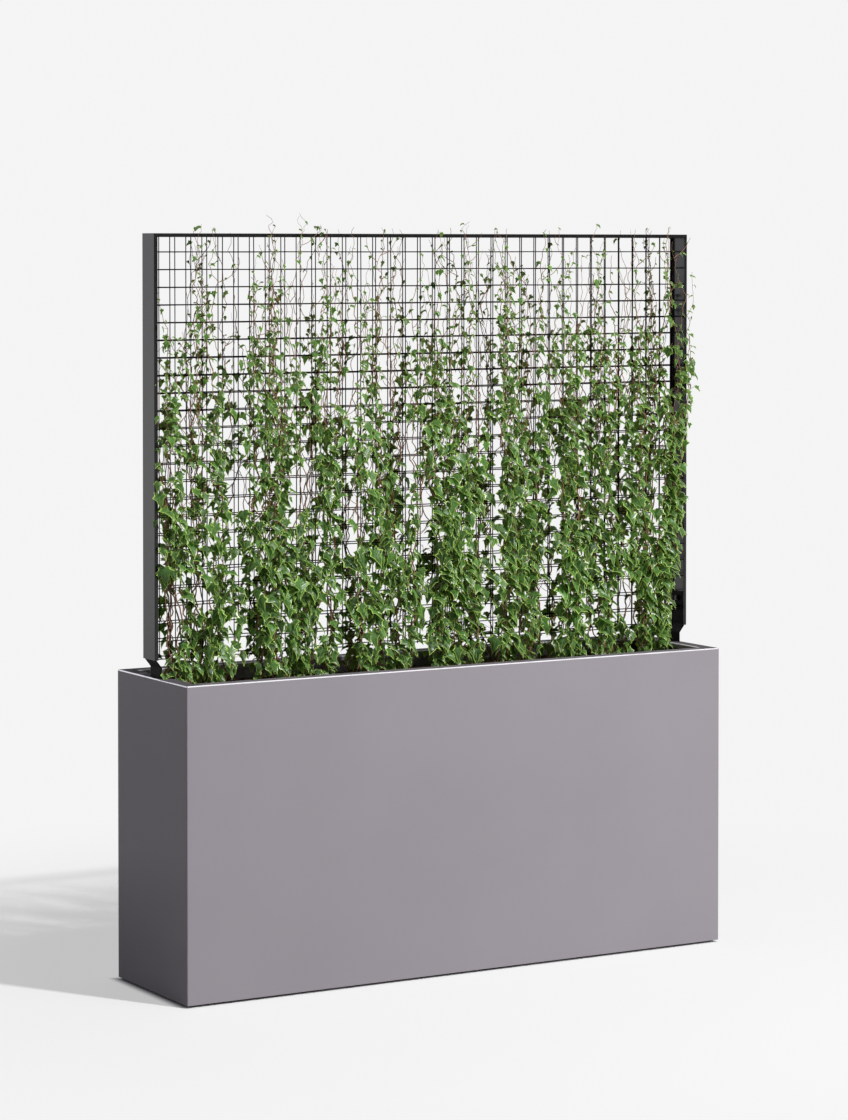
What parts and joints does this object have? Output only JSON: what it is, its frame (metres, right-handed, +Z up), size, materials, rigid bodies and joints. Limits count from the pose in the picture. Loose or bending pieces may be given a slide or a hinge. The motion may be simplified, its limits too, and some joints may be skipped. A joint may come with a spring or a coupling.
{
  "type": "planter with trellis",
  "caption": "Long grey sheet-steel floor planter with a black channel-frame trellis of welded wire mesh on cranked legs, filled with soil and planted with climbing ivy.",
  "frame": {"origin": "middle of the planter's footprint, on the floor, under the centre floor strip", "axes": "+X along the planter to its right end seen from the front, -Y to the front, +Z up"},
  "size_m": [1.8456, 0.445, 2.197],
  "materials": {
    "planter_paint": "satin powder coat",
    "frame_paint": "satin powder coat",
    "nuts": "blackened",
    "floor_strips": "matte",
    "compost": "moist and crumbly",
    "clay_granules": "matte",
    "ivy": "waxy leaves"
  },
  "bodies": {
    "root": {"planter_shell": "planter_paint", "base_plate": "planter_paint", "floor_strip_front": "floor_strips", "floor_strip_back": "floor_strips", "floor_strip_left": "floor_strips", "floor_strip_right": "floor_strips", "floor_strip_centre": "floor_strips", "cross_tie_left": "planter_paint", "cross_tie_right": "planter_paint", "drainage_layer": "clay_granules", "soil": "compost", "post_left": "frame_paint", "post_right": "frame_paint", "top_rail": "frame_paint", "mesh_front": "frame_paint", "mesh_back": "frame_paint", "leg_left": "frame_paint", "leg_right": "frame_paint", "leg_bracket_left": "planter_paint", "leg_bracket_right": "planter_paint", "post_nut_left_1": "nuts", "post_nut_left_2": "nuts", "post_nut_right_1": "nuts", "post_nut_right_2": "nuts", "bracket_nut_left_1": "nuts", "bracket_nut_left_2": "nuts", "bracket_nut_right_1": "nuts", "bracket_nut_right_2": "nuts", "ivy_front_1": "ivy", "ivy_front_2": "ivy", "ivy_front_3": "ivy", "ivy_front_4": "ivy", "ivy_front_5": "ivy", "ivy_front_6": "ivy", "ivy_front_7": "ivy", "ivy_back_1": "ivy", "ivy_back_2": "ivy", "ivy_back_3": "ivy", "ivy_back_4": "ivy", "ivy_back_5": "ivy", "ivy_back_6": "ivy"}
  },
  "joints": []
}
